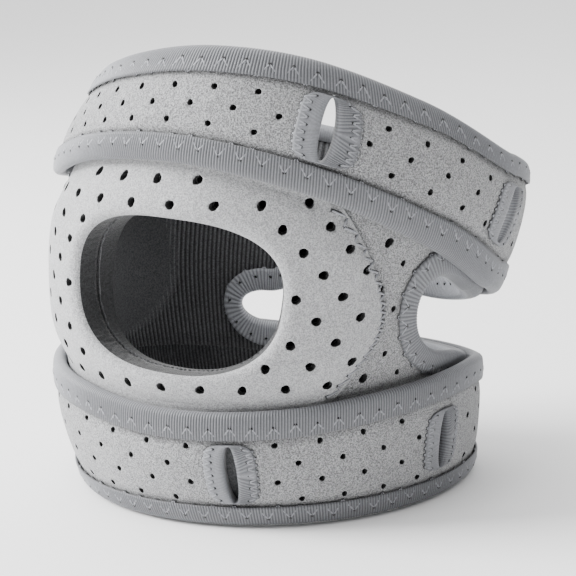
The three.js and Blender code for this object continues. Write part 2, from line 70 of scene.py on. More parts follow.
# Tapes, pad, openings and slots
INNER_LEG = 8.0
RIM_LEG = 6.5
BACKING_LEG = 5.0
PANEL_OVERLAP = 9.0
KNEECAP = {"turn": -91.8, "height": 69.5, "width": 73.0, "tall": 46.0, "square": 2.5, "lean": 2.5}
PAD = {"left": -158.0, "right": -36.0, "corner": 15.0, "tuck": 3.0, "shoulder": 14.0, "side": 16.0}
OPENING = {"near": -24.0, "rise": 6.0, "rise_end": 14.0, "far": 112.0, "end": 20.0, "reveal": 1.2,
           "leg": 8.0, "taper": 76.0, "tip": 10.0, "tip_tall": 10.4}
OPENING_TAPE_INSIDE = LINING_INSIDE - GAP - 0.6
SLOT_LENGTH = 18.0
SLOT_WIDTH = 3.6
SLOT_TAPE_WIDTH = 15.0
SLOTS = (
    {"name": "upper_front_slot_tape", "strap": "upper", "turn": -56.5, "lean": 3.0},
    {"name": "upper_side_slot_tape", "strap": "upper", "turn": -4.5, "lean": 5.0},
    {"name": "lower_front_slot_tape", "strap": "lower", "turn": -73.5, "lean": 0.0},
    {"name": "lower_side_slot_tape", "strap": "lower", "turn": -13.5, "lean": 1.5},
)
TAB = {"start": 140.0, "end": 190.0, "margin": 1.0, "thick": 1.5}

# Fine detail, in millimetres and degrees
PANEL_COLUMNS = 360
STRAP_COLUMNS = 1040
RIB_PITCH = 0.85
RIB_STEPS = 4
RIB_DEPTH = 0.17
SOFT_RIB_DEPTH = RIB_DEPTH * 0.8
# Painted shade: a tape's two edge loops at the cloth are darkened by these factors
TAPE_EDGE_PAINTED_SHADES = [0.35, 0.8]
# Painted shade in the grooves between a tape's ribs: how much darker the binding, slot and opening
# tapes' grooves are
BINDING_GROOVE_PAINTED_SHADE = 0.68
SLOT_GROOVE_PAINTED_SHADE = 0.5
OPENING_GROOVE_PAINTED_SHADE = 0.28
# Painted light: factor that lightens the inner face of the opening's tape
INNER_FACE_PAINTED_LIGHT = 2.3
FOLD_REACH = 1.9
OPENING_FOLD_REACH = 2.0
RIB_FADE = {"from": -150.0, "to": 15.0, "over": 40.0, "least": 0.25}
LINING_ROUND = 385.0
LINING_HEIGHT = 65.0
LINING_RIB_PITCH = 1.5
LINING_RIB_STEPS = 6
LINING_RIB_DEPTH = 0.2
CLOTH_DIP = 0.35
CLOTH_DIP_WIDTH = 2.5
CLOTH_RISE = 0.25
CLOTH_SWELL = 0.18
RIM_WALL = 0.9
RIM_CLEARANCE = 0.3
RIM_FUZZ = 0.22
# Painted shade: darker line along the pad's outer edge
PAD_EDGE_PAINTED_SHADE = 0.5
LIP_WIDTH = 4.0
LIP_LEAST = 0.45
STITCH_PITCH = 6.3
STITCH_REACH = 3.6
THREAD_RADIUS = 0.26
STITCH_SHADOW_RADIUS = 0.42
PAD_STITCH = 1.9
PAD_THREAD_RADIUS = 0.36
PAD_SEAM_SHADOW_RADIUS = 0.55
PIT_RADIUS = 0.6
SLOT_PIT_RADIUS = 0.45
HOLE_MARGIN = 2.2
PAD_HOLE_RADIUS = 1.4
PAD_HOLE_PITCH = 13.3
PAD_ROW_STEP = 6.8
STRAP_HOLE_RADIUS = 0.85
STRAP_HOLE_PITCH = 12.6
HOLE_ROWS = {"upper": (0.23, 0.51, 0.78), "lower": (0.1, 0.37, 0.63, 0.9)}

# Sections of the leg form: shares of the height, the width and the two depths, and its shifts
LEG_SECTIONS = {
    "height": (-0.05, 0.2, 0.45, 0.7, 0.95, 1.05),
    "width": (0.85, 0.904, 0.987, 1.0, 0.805, 0.726),
    "front": (0.863, 0.913, 0.96, 0.998, 0.941, 0.917),
    "rear": (0.848, 0.89, 0.934, 0.982, 1.014, 1.027),
    "side": (-0.032, -0.038, -0.013, 0.038, 0.084, 0.103),
    "back": (0.057, 0.015, -0.003, 0.009, 0.056, 0.075),
}

# Strap edges every 30 degrees from -180, in shares of the strap widths and the upper edge's height
STRAP_EDGES = {
    "lowerWidth": (1, 0.99, 0.956, 0.878, 0.885, 0.946, 0.966, 0.89, 0.866, 0.878, 0.927, 0.97),
    "upperEdge": (0.84, 0.905, 0.988, 1, 0.918, 0.755, 0.579, 0.504, 0.49, 0.56, 0.66, 0.76),
    "upperWidth": (0.8, 0.763, 0.734, 0.778, 0.883, 0.978, 0.985, 1, 0.98, 1, 0.93, 0.85),
}


def catmull_rom(before, start, end, after, share):
    start_slope = (end - before) / 2
    end_slope = (after - start) / 2
    square = share * share
    cube = square * share
    return ((2 * cube - 3 * square + 1) * start + (cube - 2 * square + share) * start_slope
            + (3 * square - 2 * cube) * end + (cube - square) * end_slope)


def section_value(column, height):
    """One column of the leg sections at heights in millimetres."""
    knots = np.array(LEG_SECTIONS["height"])
    values = np.array(LEG_SECTIONS[column], float)
    share = np.asarray(height, float) / BRACE_HEIGHT
    last = len(knots) - 1
    row = np.clip(np.searchsorted(knots, share) - 1, 0, last - 1)
    along = (share - knots[row]) / (knots[row + 1] - knots[row])
    return catmull_rom(values[np.maximum(row - 1, 0)], values[row], values[row + 1],
                       values[np.minimum(row + 2, last)], along)


def edge_value(column, turn):
    """One column of the strap edges at turns in degrees."""
    values = np.array(STRAP_EDGES[column], float)
    count = len(values)
    place = (np.asarray(turn, float) + 180) / (360 / count)
    row = np.floor(place).astype(int)
    at = [values[(row + step) % count] for step in (-1, 0, 1, 2)]
    return catmull_rom(*at, place - row)


def leg(turn, height, out):
    """Points of the leg form, in metres in the part's frame."""
    turn, height, out = np.broadcast_arrays(*(np.asarray(v, float) for v in (turn, height, out)))
    cosine = np.cos(np.radians(turn))
    sine = np.sin(np.radians(turn))
    power = np.where(sine > 0, BACK_SQUARENESS, 1.0)
    depth = np.where(sine > 0, BACK_DEPTH * section_value("rear", height),
                     FRONT_DEPTH * section_value("front", height))
    half_width = LOOP_WIDTH / 2 * section_value("width", height)
    x = LOOP_WIDTH * section_value("side", height) - ORIGIN[0]
    y = FRONT_DEPTH * section_value("back", height) - ORIGIN[1]
    x = x + (half_width + out) * np.sign(cosine) * np.abs(cosine) ** power
    y = y + (depth + out) * np.sign(sine) * np.abs(sine) ** power
    return np.stack([x, y, height], -1) * MM


def per_mm(turn, height):
    """Degrees of turn that one millimetre takes."""
    step = leg(turn - 0.5, height, 0) - leg(turn + 0.5, height, 0)
    return MM / np.linalg.norm(step, axis=-1)


def upper_bottom(turn):
    return UPPER_EDGE_HEIGHT * edge_value("upperEdge", turn)


def upper_top(turn):
    return upper_bottom(turn) + UPPER_STRAP_WIDTH * edge_value("upperWidth", turn)


def lower_top(turn):
    return LOWER_STRAP_WIDTH * edge_value("lowerWidth", turn)


def lower_bottom(turn):
    return np.zeros_like(np.asarray(turn, float))


STRAPS = {
    "upper": {"bottom": upper_bottom, "top": upper_top, "bottom_leg": INNER_LEG, "top_leg": RIM_LEG},
    "lower": {"bottom": lower_bottom, "top": lower_top, "bottom_leg": RIM_LEG, "top_leg": INNER_LEG},
}


def stretch(edge, turn):
    rise = (edge(turn + 1) - edge(turn - 1)) / 2
    return np.hypot(1, rise * per_mm(turn, edge(turn)))


def cloth_span(strap, turn, margin=0.0):
    """Heights between which the cloth of a strap shows."""
    low = strap["bottom"](turn) + (strap["bottom_leg"] + margin) * stretch(strap["bottom"], turn)
    high = strap["top"](turn) - (strap["top_leg"] + margin) * stretch(strap["top"], turn)
    return low, high


def strap_bow(strap, turn, height):
    """How far a strap bows outward at a height: nothing at its edges."""
    across = (height - strap["bottom"](turn)) / (strap["top"](turn) - strap["bottom"](turn))
    return STRAP_CROWN * np.maximum(1 - (2 * across - 1) ** 2, -0.3)


def on_strap(strap, turn, height, out):
    return leg(turn, height, out + strap_bow(strap, turn, height))


def rounded(share):
    return 1 - (1 - np.clip(share, 0, 1)) ** 2


def smooth(share):
    share = np.clip(share, 0, 1)
    return share * share * (3 - 2 * share)


def circle(count):
    """Angles spaced evenly round a circle."""
    return np.linspace(0, 2 * math.pi, count, endpoint=False)


def rib_wave(count, steps=RIB_STEPS):
    """Wave between -1 and 1 over columns, with a number of columns to each rib."""
    return np.cos(np.arange(count) / steps * 2 * math.pi)


def even_turns(edge, pitch, out=FACING_OUTSIDE):
    """Turns spaced evenly along an edge that goes round the leg, and their spacing."""
    fine = np.linspace(-180, 180, 2161)
    points = leg(fine, edge(fine), out)
    length = np.concatenate([[0], np.cumsum(np.linalg.norm(np.diff(points, axis=0), axis=1))]) / MM
    count = int(round(length[-1] / pitch))
    return np.interp(np.arange(count) * length[-1] / count, length, fine), length[-1] / count


# Materials


def new_material(name, colour, roughness, sheen=0.0):
    material = bpy.data.materials.new(name)
    material.use_nodes = True
    shader = material.node_tree.nodes["Principled BSDF"]
    shader.inputs["Base Color"].default_value = (*colour, 1)
    shader.inputs["Roughness"].default_value = roughness
    shader.inputs["Sheen Weight"].default_value = sheen
    shader.inputs["Sheen Roughness"].default_value = 0.5
    shader.inputs["Specular IOR Level"].default_value = 0.3
    return material, material.node_tree, shader


def add_noise(tree, size_mm, detail=2.0, roughness=0.6):
    """Noise whose features are about size_mm wide on the object."""
    place = tree.nodes.new("ShaderNodeTexCoord")
    noise = tree.nodes.new("ShaderNodeTexNoise")
    noise.inputs["Scale"].default_value = 1 / (size_mm * MM)
    noise.inputs["Detail"].default_value = detail
    noise.inputs["Roughness"].default_value = roughness
    tree.links.new(place.outputs["Object"], noise.inputs["Vector"])
    return noise.outputs["Fac"]


def add_ramp(tree, value, stops):
    ramp = tree.nodes.new("ShaderNodeValToRGB")
    elements = ramp.color_ramp.elements
    while len(elements) < len(stops):
        elements.new(0.5)
    for element, (position, colour) in zip(elements, stops):
        element.position = position
        element.color = (*colour, 1)
    tree.links.new(value, ramp.inputs["Fac"])
    return ramp.outputs["Color"]


def add_mix(tree, mode, share, first, second):
    mix = tree.nodes.new("ShaderNodeMix")
    mix.data_type = "RGBA"
    mix.blend_type = mode
    mix.inputs["Factor"].default_value = share
    tree.links.new(first, mix.inputs["A"])
    tree.links.new(second, mix.inputs["B"])
    return mix.outputs["Result"]


def add_bump(tree, shader, heights):
    """Bump from a list of (value, strength, distance in millimetres)."""
    normal = None
    for value, strength, distance in heights:
        bump = tree.nodes.new("ShaderNodeBump")
        bump.inputs["Strength"].default_value = strength
        bump.inputs["Distance"].default_value = distance * MM
        tree.links.new(value, bump.inputs["Height"])
        if normal:
            tree.links.new(normal, bump.inputs["Normal"])
        normal = bump.outputs["Normal"]
    tree.links.new(normal, shader.inputs["Normal"])


def add_shade(tree, shader, colour):
    """Colour of a shader, times the painted light and shade that the points of its mesh carry."""
    shade = tree.nodes.new("ShaderNodeAttribute")
    shade.attribute_name = "shade"
    result = add_mix(tree, "MULTIPLY", 1.0, colour, shade.outputs["Color"])
    tree.links.new(result, shader.inputs["Base Color"])


def grey(value, blue=0.015):
    return (value, value * (1 + blue / 2), value * (1 + blue * 2))


def fabric_material(name, light, contrast, fuzz):
    """Light fabric: a fine mottle of loops over a soft wider shade."""
    material, tree, shader = new_material(name, grey(light), 0.95, 0.35)
    loops = add_noise(tree, 0.42, 2.0, 0.7)
    clumps = add_noise(tree, 1.3)
    wide = add_noise(tree, 22.0, 2.0, 0.5)
    dark = grey(light * (1 - contrast))
    bright = grey(min(light * (1 + contrast), 1))
    mottle = add_ramp(tree, loops, [(0.4, dark), (0.5, grey(light)), (0.6, bright)])
    patches = add_ramp(tree, clumps, [(0.38, grey(0.86, 0)), (0.62, grey(1.0, 0))])
    shade = add_ramp(tree, wide, [(0.3, grey(0.93, 0)), (0.7, grey(1.0, 0))])
    colour = add_mix(tree, "MULTIPLY", 1.0, mottle, patches)
    colour = add_mix(tree, "MULTIPLY", 1.0, colour, shade)
    add_shade(tree, shader, colour)
    add_bump(tree, shader, [(clumps, 0.6, 0.6 * fuzz), (loops, 1.0, 0.6 * fuzz)])
    return material


def tape_material(name, light):
    material, tree, shader = new_material(name, grey(light, 0.05), 0.55, 0.15)
    weave = add_noise(tree, 0.5)
    worn = add_noise(tree, 9.0, 2.0, 0.5)
    colour = add_ramp(tree, weave, [(0.3, grey(light * 0.86, 0.05)), (0.7, grey(light * 1.08, 0.05))])
    wear = add_ramp(tree, worn, [(0.3, grey(0.94, 0)), (0.7, grey(1.0, 0))])
    add_shade(tree, shader, add_mix(tree, "MULTIPLY", 1.0, colour, wear))
    add_bump(tree, shader, [(weave, 0.4, 0.12)])
    return material


def dark_material(name, light, size_mm, depth):
    material, tree, shader = new_material(name, grey(light, 0.03), 0.9, 0.2)
    grain = add_noise(tree, size_mm, 3.0, 0.7)
    colour = add_ramp(tree, grain, [(0.35, grey(light * 0.55, 0.03)), (0.65, grey(light * 1.5, 0.03))])
    add_shade(tree, shader, colour)
    add_bump(tree, shader, [(grain, 0.7, depth)])
    return material


BRUSHED = fabric_material("brushed_loop_fabric", 0.33, 0.5, 1.1)
SMOOTH = fabric_material("smooth_pad_fabric", 0.39, 0.3, 0.6)
BINDING = tape_material("binding_tape", 0.235)
LINING = dark_material("ribbed_lining", 0.085, 0.5, 0.15)
FOAM = dark_material("foam_edge", 0.026, 0.6, 0.4)
# Near-black painted shadow, for the needle holes
PIT = dark_material("hole_shadow", 0.006, 0.6, 0.1)
THREAD = tape_material("sewing_thread", 0.3)
# Painted shadow: dark wider tubes laid under the threads
PAINTED_STITCH_SHADOW = dark_material("stitch_painted_shadow", 0.04, 0.5, 0.1)


# Mesh helpers


def mesh_object(name, points, faces, materials, face_materials=None, flat=False, shades=1.0):
    """Mesh whose points carry a painted light-and-shade factor that its material darkens or lightens the
    colour by.
    """
    mesh = bpy.data.meshes.new(name)
    points = np.asarray(points).reshape(-1, 3)
    mesh.from_pydata(points.tolist(), [], faces)
    layer = mesh.color_attributes.new(name="shade", type="FLOAT_COLOR", domain="POINT")
    colours = np.ones((len(points), 4))
    colours[:, :3] = np.broadcast_to(np.asarray(shades, float).reshape(-1, 1), (len(points), 3))
    layer.data.foreach_set("color", colours.ravel())
    for material in materials:
        mesh.materials.append(material)
    if face_materials is not None:
        mesh.polygons.foreach_set("material_index", np.asarray(face_materials, dtype=np.int32))
    if not flat:
        mesh.polygons.foreach_set("use_smooth", [True] * len(mesh.polygons))
    mesh.update()
    obj = bpy.data.objects.new(name, mesh)
    bpy.context.scene.collection.objects.link(obj)
    return obj


def turn_outward(obj):
    bm = bmesh.new()
    bm.from_mesh(obj.data)
    bmesh.ops.recalc_face_normals(bm, faces=bm.faces)
    bm.to_mesh(obj.data)
    bm.free()


def loft(name, stations, materials, segments=None, is_ring=True, shades=1.0):
    """Closed body through stations, an array of loops of points. segments gives the material
    index of each stretch of a ring's loop, and shades a shade for each point."""
    stations = np.asarray(stations)
    count, size = stations.shape[:2]
    spans = count if is_ring else count - 1
    i = np.arange(spans)[:, None]
    j = np.arange(size)[None, :]
    nxt = (i + 1) % count
    quads = np.stack([i * size + j, nxt * size + j,
                      nxt * size + (j + 1) % size, i * size + (j + 1) % size], -1)
    faces = quads.reshape(-1, 4).tolist()
    marks = None if segments is None else np.tile(segments, spans)
    if not is_ring:
        last = (count - 1) * size
        faces.append(list(range(size)))
        faces.append([last + k for k in reversed(range(size))])
    obj = mesh_object(name, stations, faces, materials, marks, shades=shades)
    turn_outward(obj)
    return obj


def sheet_loop(outer, inner):
    """Section loop of a sheet from its outer rows upward and its inner rows downward."""
    return np.concatenate([outer, inner[:, ::-1]], axis=1)


def ring_band(name, columns, heights, inside, outside, materials, relief=None, strap=None,
              shade=None, inner_rows=6):
    """Band round the leg between two heights given per turn, with a dark ribbed inner face whose ribs
    carry painted light and shade.
    """
    turns = -180 + 360 * np.arange(columns) / columns
    low, high = heights(turns)
    rows = int(np.max(high - low) / 1.6)
    share = np.linspace(0, 1, rows + 1)
    grid = low[:, None] + (high - low)[:, None] * share
    out = np.full(grid.shape, outside, float)
    if relief is not None:
        out = out + relief(turns[:, None] + 0 * grid, grid)
    outer = leg(turns[:, None], grid, out)
    back = np.linspace(0, 1, inner_rows + 1)
    behind = low[:, None] + (high - low)[:, None] * back
    bow = 0.0 if strap is None else strap_bow(strap, turns[:, None] + 0 * behind, behind)
    wave = rib_wave(columns)[:, None]
    inner = leg(turns[:, None], behind, inside + bow - LINING_RIB_DEPTH * wave)
    segments = [0] * rows + [1] * (inner_rows + 2)
    front = np.ones(outer.shape[:2]) if shade is None else shade(turns[:, None] + 0 * grid, grid)
    # Painted light and shade on the inner face's ribs: ridges lighter, grooves darker
    shades = np.concatenate([front, (1 + 0.7 * wave) + 0 * behind], axis=1)
    return loft(name, sheet_loop(outer, inner), materials, segments, shades=shades)


def prism(contour, low_out, high_out):
    """Points of a cutter from a contour of (turn, height), between two faces."""
    turn, height = contour
    return np.stack([leg(turn, height, low_out), leg(turn, height, high_out)])


def cutter_object(name, prisms):
    """One object that holds many prisms, each two loops of points."""
    points = []
    faces = []
    for lower, upper in prisms:
        size = len(lower)
        start = len(points)
        points.extend(lower.tolist())
        points.extend(upper.tolist())
        for k in range(size):
            nxt = (k + 1) % size
            faces.append((start + k, start + nxt, start + size + nxt, start + size + k))
        faces.append(tuple(start + k for k in reversed(range(size))))
        faces.append(tuple(start + size + k for k in range(size)))
    obj = mesh_object(name, points, faces, [PIT, PIT], [1] * len(faces), flat=True)
    turn_outward(obj)
    return obj


def cut(obj, cutter):
    """Cuts the cutter out of obj and deletes it. The cut faces take material slot 1."""
    modifier = obj.modifiers.new("cut", "BOOLEAN")
    modifier.operation = "DIFFERENCE"
    modifier.solver = "MANIFOLD"
    modifier.object = cutter
    graph = bpy.context.evaluated_depsgraph_get()
    mesh = bpy.data.meshes.new_from_object(obj.evaluated_get(graph))
    obj.modifiers.clear()
    old = obj.data
    obj.data = mesh
    bpy.data.meshes.remove(old)
    bpy.data.objects.remove(cutter)


def dress(obj, slot, *nodes):
    """Puts a piece on the body, for the nodes that it replaces, which it hides. The slot argument is not
    used.
    """
    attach(obj, "root")
    if nodes:
        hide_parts(*nodes)


# Kneecap opening and the opening behind the knee


def kneecap_contour(angle, grow=0.0):
    power = 2 / KNEECAP["square"]
    across = np.sign(np.cos(angle)) * np.abs(np.cos(angle)) ** power
    up = np.sign(np.sin(angle)) * np.abs(np.sin(angle)) ** power
    scale = per_mm(KNEECAP["turn"], KNEECAP["height"])
    turn = KNEECAP["turn"] + (KNEECAP["width"] / 2 + grow) * across * scale
    height = KNEECAP["height"] + (KNEECAP["tall"] / 2 + grow) * up - KNEECAP["lean"] * across
    return turn, height


def opening_rows(grow, middle_count=80, cap_steps=24):
    """Turn, low and high edge of the opening behind the knee from end to end."""
    near_pitch = per_mm(OPENING["near"], BRACE_HEIGHT / 2)
    far_pitch = per_mm(OPENING["far"], BRACE_HEIGHT / 2)
    near_end = OPENING["near"] + OPENING["end"] * near_pitch
    far_start = OPENING["far"] - OPENING["tip"] * far_pitch
    angle = np.linspace(0, math.pi / 2, cap_steps + 1)
    near_cap = near_end - (OPENING["end"] + grow) * near_pitch * np.cos(angle)
    far_cap = far_start + (OPENING["tip"] + grow) * far_pitch * np.cos(angle)
    middle = np.linspace(near_end, far_start, middle_count + 2)[1:-1]
    turns = np.concatenate([near_cap, middle, far_cap[::-1]])
    roundness = np.concatenate([np.sin(angle), np.ones(middle_count), np.sin(angle)[::-1]])
    levelling = smooth((turns - OPENING["near"]) / (OPENING["rise_end"] - OPENING["near"]))
    low_edge = lower_top(turns) + OPENING["reveal"] + OPENING["rise"] * (1 - levelling)
    full = upper_bottom(turns) - OPENING["reveal"] - low_edge
    narrowing = smooth((turns - OPENING["taper"]) / (far_start - OPENING["taper"]))
    tall = full + (OPENING["tip_tall"] - full) * narrowing
    centre = low_edge + tall / 2
    half = (tall / 2 + grow) * roundness
    return turns, centre - half, centre + half


def opening_contour(grow):
    turns, low, high = opening_rows(grow)
    turn = np.concatenate([turns[:-1], turns[:0:-1]])
    height = np.concatenate([high[:-1], low[:0:-1]])
    return turn, height


def opening_cutter(low_out, high_out):
    turns, low, high = opening_rows(CLOTH_INSET)
    shares = np.linspace(0, 1, 5)
    grid = low[1:-1, None] + (high - low)[1:-1, None] * shares
    outer = leg(turns[1:-1, None], grid, high_out)
    inner = leg(turns[1:-1, None], grid, low_out)
    obj = loft("opening_cutter", sheet_loop(outer, inner), [PIT, FOAM], is_ring=False)
    obj.data.polygons.foreach_set("material_index", [1] * len(obj.data.polygons))
    return obj


def cut_openings(obj, kneecap_grow):
    kneecap = prism(kneecap_contour(circle(120), kneecap_grow), -14, 14)
    cut(obj, cutter_object("kneecap_cutter", [kneecap]))
    cut(obj, opening_cutter(LINING_INSIDE - 2, PANEL_OUTSIDE + 2))


# Punched holes


def hole_prism(turn, height, radius, low_out, high_out, sides=20):
    """Cutter of a slightly uneven round hole."""
    angle = circle(sides)
    wobble = (1 + 0.08 * np.sin(2 * angle + turn) + 0.05 * np.sin(3 * angle + 5 * height)
              + 0.04 * np.sin(7 * angle + 3 * turn))
    across = radius * wobble * np.cos(angle) * per_mm(turn, height)
    return prism((turn + across, height + radius * wobble * np.sin(angle)), low_out, high_out)


def pad_hole_places():
    """Staggered lattice of the panel's and pad's holes, between the straps."""
    pitch = PAD_HOLE_PITCH * float(per_mm(KNEECAP["turn"], KNEECAP["height"]))
    places = []
    for row in range(-8, 9):
        height = KNEECAP["height"] + row * PAD_ROW_STEP
        for column in range(-16, 17):
            turn = KNEECAP["turn"] + (column + (0 if row % 2 == 0 else 0.5)) * pitch
            off_straps = lower_top(turn) + HOLE_MARGIN < height < upper_bottom(turn) - HOLE_MARGIN
            if -180 < turn < 180 and off_straps:
                places.append((turn, height))
    return places


def off_kneecap(turn, height):
    across = (turn - KNEECAP["turn"]) / per_mm(turn, height) / (KNEECAP["width"] / 2 + HOLE_MARGIN)
    up = (height - KNEECAP["height"]) / (KNEECAP["tall"] / 2 + HOLE_MARGIN)
    return abs(across) ** KNEECAP["square"] + abs(up) ** KNEECAP["square"] > 1


def off_opening(turn, height, margin):
    turns, low, high = opening_rows(margin)
    if not turns[0] < turn < turns[-1]:
        return True
    return not np.interp(turn, turns, low) < height < np.interp(turn, turns, high)


def strap_hole_places(name):
    """Rows of holes along a strap, off its slots and its tab."""
    strap = STRAPS[name]
    off_tape = SLOT_TAPE_WIDTH / 2 + 1.6

    def middle(turn):
        low, high = cloth_span(strap, turn)
        return (low + high) / 2

    turns, _ = even_turns(middle, STRAP_HOLE_PITCH)
    places = []
    for row, share in enumerate(HOLE_ROWS[name]):
        for k, turn in enumerate(turns):
            if row % 2 == 1:
                following = turns[(k + 1) % len(turns)]
                turn = (turn + following) / 2 if following > turn else (turn + 180) / 2
            low, high = cloth_span(strap, turn)
            height = float(low + (high - low) * share)
            reach = off_tape * per_mm(turn, height)
            in_slot = any(slot["strap"] == name and abs(turn - slot["turn"]) < reach for slot in SLOTS)
            in_tab = TAB["start"] - 3 < turn < TAB["end"] + 3 or turn < TAB["end"] - 360 + 3
            if not in_slot and not in_tab:
                places.append((float(turn), height))
    return places


# Main cloth pieces


def panel_heights(turn):
    return lower_top(turn) - PANEL_OVERLAP, upper_bottom(turn) + PANEL_OVERLAP


def make_panel():
    panel = ring_band("knee_panel_cloth", PANEL_COLUMNS, panel_heights, PANEL_INSIDE, PANEL_OUTSIDE,
                      [BRUSHED, FOAM])
    cut_openings(panel, RIM_WALL + RIM_CLEARANCE)
    holes = []
    for turn, height in pad_hole_places():
        if off_kneecap(turn, height) and off_opening(turn, height, OPENING["leg"] + 1.6):
            radius = PAD_HOLE_RADIUS if PAD["left"] < turn < PAD["right"] else STRAP_HOLE_RADIUS
            holes.append(hole_prism(turn, height, radius, PANEL_INSIDE + 0.5, PANEL_OUTSIDE + 1))
    cut(panel, cutter_object("panel_holes", holes))
    dress(panel, "brushed_fabric", "knee_panel")


def make_lining():
    """Dark lining with fine upright ribs on its inner face, painted lighter on their ridges and darker
    in their grooves as light and shade.
    """
    columns = int(round(LINING_ROUND / LINING_RIB_PITCH)) * LINING_RIB_STEPS
    turns, _ = even_turns(lambda turn: 0 * turn + LINING_HEIGHT, LINING_ROUND / columns, LINING_INSIDE)
    low, high = panel_heights(turns)
    shares = np.linspace(0, 1, 13)
    grid = low[:, None] + (high - low)[:, None] * shares
    wave = rib_wave(len(turns), LINING_RIB_STEPS)
    inner = leg(turns[:, None], grid, LINING_INSIDE - LINING_RIB_DEPTH * wave[:, None])
    outer = leg(turns[:, None], grid[:, ::12], LINING_OUTSIDE)
    # Painted light and shade: rib ridges lighter, grooves darker
    ribbed = (1 + 0.75 * wave)[:, None] + 0 * grid
    shades = np.concatenate([np.ones(outer.shape[:2]), ribbed], axis=1)
    lining = loft("panel_lining_cloth", sheet_loop(outer, inner), [LINING, FOAM], shades=shades)
    cut_openings(lining, 0.0)
    dress(lining, "lining_fabric", "panel_lining")


def pad_edges(up):
    """Turn of the pad's left and right edge at a share of its height."""
    corner = PAD["corner"] * (2 * up - 0.9) ** 2
    return PAD["left"] + corner, PAD["right"] - corner


def pad_outer_contour(angle):
    reach = np.maximum(np.abs(np.cos(angle)), np.abs(np.sin(angle)))
    up = (np.sin(angle) / reach + 1) / 2
    left, right = pad_edges(up)
    turn = left + (right - left) * (np.cos(angle) / reach + 1) / 2
    low = lower_top(turn) - PAD["tuck"]
    high = upper_bottom(turn) + PAD["tuck"]
    return turn, low + (high - low) * up


def make_pad(columns=300, rows=64):
    """Raised pad: a ring of cloth from the kneecap opening out to its sewn edge."""
    angle = circle(columns)
    rim_turn, rim_height = kneecap_contour(angle)
    end_turn, end_height = pad_outer_contour(angle)
    share = np.linspace(0, 1, rows + 1) ** 1.15
    turn = rim_turn[:, None] + (end_turn - rim_turn)[:, None] * share
    height = rim_height[:, None] + (end_height - rim_height)[:, None] * share
    scale = per_mm(turn, height)
    from_rim = np.hypot((turn - rim_turn[:, None]) / scale, height - rim_height[:, None])
    up = (height - lower_top(turn)) / (upper_bottom(turn) - lower_top(turn))
    left, right = pad_edges(np.clip(up, 0, 1))
    from_side = np.maximum(np.minimum(turn - left, right - turn), 0) / scale
    from_strap = np.minimum(height - lower_top(turn), upper_bottom(turn) - height) - 1.3
    rise = rounded(from_side / PAD["side"]) * rounded(from_strap / PAD["shoulder"])
    lip = LIP_LEAST + (1 - LIP_LEAST) * rounded(from_rim / LIP_WIDTH)
    out = PAD_OUTSIDE + PAD_BULGE * rise * lip - 0.5 * (1 - rounded(from_rim / 1.0))
    out = out - 0.75 * (1 - rounded(from_side / 1.6))
    outer = leg(turn, height, out)
    wall = kneecap_contour(angle, RIM_WALL)
    flat = leg(turn[:, 16::16], height[:, 16::16], PAD_INSIDE)
    fuzz = np.random.default_rng(11).uniform(-1, 1, (columns, 6)) * RIM_FUZZ
    depth = np.linspace(0.12, 1, 6)[None, :]
    foot = LINING_OUTSIDE + 0.15
    rim_out = out[:, :1] + (foot - out[:, :1]) * depth
    rim = leg(*kneecap_contour(angle[:, None] + 0 * fuzz, fuzz), rim_out)
    back = np.stack([leg(*wall, foot), leg(*wall, PAD_INSIDE)], axis=1)
    behind = np.concatenate([rim, back, flat], axis=1)
    segments = [0] * (rows + 1) + [1] * behind.shape[1]
    shades = np.ones((columns, rows + 1 + behind.shape[1]))
    # Painted shade: a darker line along the pad's outer edge, where it is sewn or tucked under the
    # straps
    shades[:, rows] = PAD_EDGE_PAINTED_SHADE
    pad = loft("patella_pad_cloth", sheet_loop(outer, behind), [SMOOTH, FOAM], segments, shades=shades)
    holes = []
    for hole_turn, hole_height in pad_hole_places():
        if PAD["left"] + 4 < hole_turn < PAD["right"] - 3 and off_kneecap(hole_turn, hole_height):
            holes.append(hole_prism(hole_turn, hole_height, PAD_HOLE_RADIUS, PAD_INSIDE - 1,
                                    PAD_OUTSIDE + PAD_BULGE + 1))
    cut(pad, cutter_object("pad_holes", holes))
    dress(pad, "pad_fabric", "patella_pad")


